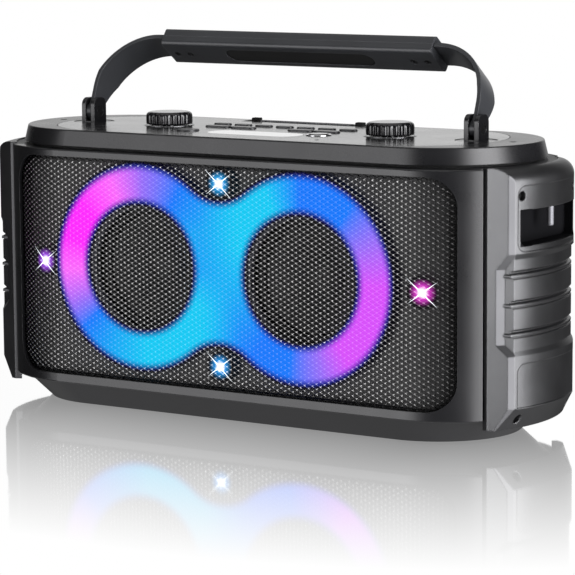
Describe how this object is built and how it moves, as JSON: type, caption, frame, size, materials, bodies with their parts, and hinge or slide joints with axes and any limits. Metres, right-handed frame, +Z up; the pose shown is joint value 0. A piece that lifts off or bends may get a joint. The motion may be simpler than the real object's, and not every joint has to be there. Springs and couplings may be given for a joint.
{
  "type": "party speaker",
  "caption": "Portable party speaker with a wrap-round mesh front, figure-eight light band, ribbed side cheeks, top control deck and a folding carry handle.",
  "frame": {"origin": "on the resting surface, under the centre of the cabinet", "axes": "+X to the right-hand end as the front is looked at, -Y out of the front grille, +Z up"},
  "size_m": [0.397, 0.134, 0.2389],
  "materials": {
    "cabinet_plastic": "fine textured black moulding",
    "frame_plastic": "satin charcoal moulding",
    "cheek_plastic": "satin dark grey moulding",
    "deck_plastic": "semi-gloss charcoal moulding",
    "gloss_black": "polished black",
    "key_plastic": "gloss black keys",
    "knob_plastic": "gloss black fluted knob",
    "handle_plastic": "satin charcoal moulding",
    "inner_plastic": "plain black moulding",
    "grille_metal": "black powder-coated mesh",
    "light_diffuser": "milky diffuser lit from behind in blue, cyan, violet and magenta",
    "star_lens": "clear domed lens, lit",
    "display_glass": "smoked clear cover",
    "display_panel": "unlit display panel",
    "bright_trim": "polished",
    "peg_steel": "satin steel",
    "screw_steel": "black oxide",
    "black_steel": "black paint",
    "zinc_steel": "zinc plate",
    "soft_rubber": "matte black rubber",
    "cone_paper": "coated black paper",
    "circuit_board": "green solder mask",
    "battery_sleeve": "blue heat-shrink sleeve"
  },
  "bodies": {
    "cabinet": {"rear_cabinet": "cabinet_plastic", "front_frame": "frame_plastic", "grille": "grille_metal", "front_baffle": "inner_plastic", "light_guide": "light_diffuser", "light_board": "circuit_board", "star_lenses": "star_lens", "woofer_baskets": "black_steel", "woofer_magnets": "zinc_steel", "woofer_suspensions": "soft_rubber", "woofer_screws": "screw_steel", "cheek_right": "cheek_plastic", "cheek_left": "cheek_plastic", "cheek_screws": "screw_steel", "strap_pegs": "peg_steel", "deck_gasket": "soft_rubber", "top_bezel": "deck_plastic", "control_plate": "gloss_black", "display_window": "display_glass", "display_module": "display_panel", "key_board": "circuit_board", "tact_switches": "inner_plastic", "power_ring": "bright_trim", "tablet_tray": "inner_plastic", "slot_stops": "soft_rubber", "knob_pots": "zinc_steel", "clevis_left": "handle_plastic", "clevis_right": "handle_plastic", "pivot_pins": "screw_steel", "base_plinth": "inner_plastic", "rubber_feet": "soft_rubber", "battery_pack": "battery_sleeve", "amplifier_board": "circuit_board", "jack_panel": "inner_plastic", "jack_sockets": "inner_plastic", "bass_port": "inner_plastic", "rear_screws": "screw_steel"},
    "handle": {"handle_arm_left": "handle_plastic", "handle_arm_right": "handle_plastic", "grip_lower": "handle_plastic", "grip_upper": "handle_plastic", "grip_pad": "soft_rubber", "grip_screws": "screw_steel"},
    "left_knob": {"knob_left": "knob_plastic"},
    "right_knob": {"knob_right": "knob_plastic"},
    "left_cone": {"cone_left": "cone_paper"},
    "right_cone": {"cone_right": "cone_paper"},
    "button_1_cap": {"button_1": "key_plastic"},
    "button_2_cap": {"button_2": "key_plastic"},
    "button_3_cap": {"button_3": "key_plastic"},
    "button_4_cap": {"button_4": "key_plastic"},
    "button_5_cap": {"button_5": "key_plastic"},
    "button_6_cap": {"button_6": "key_plastic"},
    "button_7_cap": {"button_7": "key_plastic"},
    "wide_key_1_cap": {"wide_key_1": "key_plastic"},
    "wide_key_2_cap": {"wide_key_2": "key_plastic"},
    "wide_key_3_cap": {"wide_key_3": "key_plastic"},
    "wide_key_4_cap": {"wide_key_4": "key_plastic"},
    "round_key_cap": {"round_key": "key_plastic"},
    "power_button_cap": {"power_button": "key_plastic"}
  },
  "joints": [
    {"name": "handle_pivot", "type": "hinge", "parent": "cabinet", "child": "handle", "pos_m": [0, 0, 0.1855], "axis": [1, 0, 0], "range_deg": [-40, 112]},
    {"name": "left_knob_turn", "type": "hinge", "parent": "cabinet", "child": "left_knob", "pos_m": [-0.0827, 0, 0.1835], "axis": [0, 0, 1], "range_deg": [-150, 150]},
    {"name": "right_knob_turn", "type": "hinge", "parent": "cabinet", "child": "right_knob", "pos_m": [0.0827, 0, 0.1835], "axis": [0, 0, 1], "range_deg": [-150, 150]},
    {"name": "left_cone_stroke", "type": "slide", "parent": "cabinet", "child": "left_cone", "axis": [0, -1, 0], "range_m": [-0.0025, 0.0025], "stiffness_N_per_m": 1500},
    {"name": "right_cone_stroke", "type": "slide", "parent": "cabinet", "child": "right_cone", "axis": [0, -1, 0], "range_m": [-0.0025, 0.0025], "stiffness_N_per_m": 1500},
    {"name": "button_1_press", "type": "slide", "parent": "cabinet", "child": "button_1_cap", "axis": [0, 0, -1], "range_m": [0, 0.001], "stiffness_N_per_m": 500},
    {"name": "button_2_press", "type": "slide", "parent": "cabinet", "child": "button_2_cap", "axis": [0, 0, -1], "range_m": [0, 0.001], "stiffness_N_per_m": 500},
    {"name": "button_3_press", "type": "slide", "parent": "cabinet", "child": "button_3_cap", "axis": [0, 0, -1], "range_m": [0, 0.001], "stiffness_N_per_m": 500},
    {"name": "button_4_press", "type": "slide", "parent": "cabinet", "child": "button_4_cap", "axis": [0, 0, -1], "range_m": [0, 0.001], "stiffness_N_per_m": 500},
    {"name": "button_5_press", "type": "slide", "parent": "cabinet", "child": "button_5_cap", "axis": [0, 0, -1], "range_m": [0, 0.001], "stiffness_N_per_m": 500},
    {"name": "button_6_press", "type": "slide", "parent": "cabinet", "child": "button_6_cap", "axis": [0, 0, -1], "range_m": [0, 0.001], "stiffness_N_per_m": 500},
    {"name": "button_7_press", "type": "slide", "parent": "cabinet", "child": "button_7_cap", "axis": [0, 0, -1], "range_m": [0, 0.001], "stiffness_N_per_m": 500},
    {"name": "wide_key_1_press", "type": "slide", "parent": "cabinet", "child": "wide_key_1_cap", "axis": [0, 0, -1], "range_m": [0, 0.001], "stiffness_N_per_m": 500},
    {"name": "wide_key_2_press", "type": "slide", "parent": "cabinet", "child": "wide_key_2_cap", "axis": [0, 0, -1], "range_m": [0, 0.001], "stiffness_N_per_m": 500},
    {"name": "wide_key_3_press", "type": "slide", "parent": "cabinet", "child": "wide_key_3_cap", "axis": [0, 0, -1], "range_m": [0, 0.001], "stiffness_N_per_m": 500},
    {"name": "wide_key_4_press", "type": "slide", "parent": "cabinet", "child": "wide_key_4_cap", "axis": [0, 0, -1], "range_m": [0, 0.001], "stiffness_N_per_m": 500},
    {"name": "round_key_press", "type": "slide", "parent": "cabinet", "child": "round_key_cap", "axis": [0, 0, -1], "range_m": [0, 0.001], "stiffness_N_per_m": 500},
    {"name": "power_button_press", "type": "slide", "parent": "cabinet", "child": "power_button_cap", "axis": [0, 0, -1], "range_m": [0, 0.001], "stiffness_N_per_m": 500}
  ]
}
